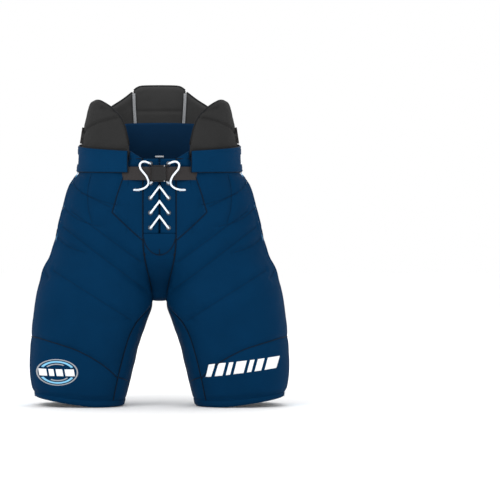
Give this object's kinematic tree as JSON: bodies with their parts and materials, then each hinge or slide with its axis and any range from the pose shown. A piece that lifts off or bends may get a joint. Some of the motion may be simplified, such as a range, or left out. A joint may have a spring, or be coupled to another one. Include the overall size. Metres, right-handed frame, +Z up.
{
  "type": "hockey pants",
  "caption": "Padded ice hockey pants: laced fly, belt with a cam buckle, tall kidney, hip and spine pads above the belt, side stripes and two guarded legs.",
  "frame": {"origin": "bottom centre of the bounding box, midway between the two hems on the ground", "axes": "+Z up the body, -Y the wearer's front, +X the wearer's left"},
  "size_m": [0.4904, 0.296, 0.609],
  "materials": {
    "navy_nylon": "woven nylon, dull",
    "belt_nylon": "tightly woven nylon, dull",
    "pad_cloth": "knitted padding cloth, dull",
    "stripe_cloth": "sewn stripe, dull",
    "liner_cloth": "knitted lining, dull",
    "guard_plastic": "moulded sheet",
    "pad_foam": "closed-cell foam",
    "webbing": "ribbed webbing",
    "lace_cord": "braided cord",
    "eyelet_metal": "pressed and plated",
    "buckle_plastic": "moulded, satin"
  },
  "bodies": {
    "waist": {"left_abdomen_panel": "navy_nylon", "left_hip_front_panel": "navy_nylon", "left_seat_panel": "navy_nylon", "left_hip_guard": "guard_plastic", "left_hip_gore": "pad_cloth", "left_side_stripe": "stripe_cloth", "left_hip_pad": "pad_cloth", "left_kidney_pad": "pad_cloth", "left_fly_flap": "navy_nylon", "left_eyelet_1": "eyelet_metal", "left_eyelet_2": "eyelet_metal", "left_eyelet_3": "eyelet_metal", "left_eyelet_4": "eyelet_metal", "left_eyelet_5": "eyelet_metal", "right_abdomen_panel": "navy_nylon", "right_hip_front_panel": "navy_nylon", "right_seat_panel": "navy_nylon", "right_hip_guard": "guard_plastic", "right_hip_gore": "pad_cloth", "right_side_stripe": "stripe_cloth", "right_hip_pad": "pad_cloth", "right_kidney_pad": "pad_cloth", "right_fly_flap": "navy_nylon", "right_eyelet_1": "eyelet_metal", "right_eyelet_2": "eyelet_metal", "right_eyelet_3": "eyelet_metal", "right_eyelet_4": "eyelet_metal", "right_eyelet_5": "eyelet_metal", "spine_pad": "pad_cloth", "waist_lining": "navy_nylon", "tailbone_guard": "guard_plastic", "belt_casing": "belt_nylon", "belt_webbing": "webbing", "crotch_gusset": "navy_nylon", "fly_tongue": "navy_nylon", "lace": "lace_cord", "left_lace_tail": "lace_cord", "right_lace_tail": "lace_cord", "buckle_frame": "buckle_plastic", "buckle_pin": "eyelet_metal"},
    "left_leg": {"left_thigh_front_panel": "navy_nylon", "left_lower_thigh_panel": "navy_nylon", "left_thigh_rear_panel": "navy_nylon", "left_inner_thigh_panel": "navy_nylon", "left_hem_binding": "navy_nylon", "left_leg_liner": "liner_cloth", "left_thigh_guard": "guard_plastic", "left_thigh_foam": "pad_foam"},
    "right_leg": {"right_thigh_front_panel": "navy_nylon", "right_lower_thigh_panel": "navy_nylon", "right_thigh_rear_panel": "navy_nylon", "right_inner_thigh_panel": "navy_nylon", "right_hem_binding": "navy_nylon", "right_leg_liner": "liner_cloth", "right_thigh_guard": "guard_plastic", "right_thigh_foam": "pad_foam"},
    "buckle_lever": {"buckle_lever": "buckle_plastic"},
    "left_loop": {"left_suspender_loop": "webbing"},
    "right_loop": {"right_suspender_loop": "webbing"}
  },
  "joints": [
    {"name": "left_leg_swing", "type": "hinge", "parent": "waist", "child": "left_leg", "pos_m": [0.12, 0.00613, 0.31], "axis": [-1, 0, 0], "range_deg": [-10, 20], "deforming": ["left_hip_gore", "left_side_stripe"]},
    {"name": "right_leg_swing", "type": "hinge", "parent": "waist", "child": "right_leg", "pos_m": [-0.12, 0.00613, 0.31], "axis": [-1, 0, 0], "range_deg": [-10, 20], "deforming": ["right_hip_gore", "right_side_stripe"]},
    {"name": "buckle_lever_turn", "type": "hinge", "parent": "waist", "child": "buckle_lever", "pos_m": [0.009, -0.14407, 0.442], "axis": [0, 0, 1], "range_deg": [0, 80]},
    {"name": "left_loop_fold", "type": "hinge", "parent": "waist", "child": "left_loop", "pos_m": [0.14948, -0.00587, 0.49929], "axis": [0, 1, 0], "range_deg": [0, 95]},
    {"name": "right_loop_fold", "type": "hinge", "parent": "waist", "child": "right_loop", "pos_m": [-0.14948, -0.00587, 0.49929], "axis": [0, -1, 0], "range_deg": [0, 95]}
  ]
}
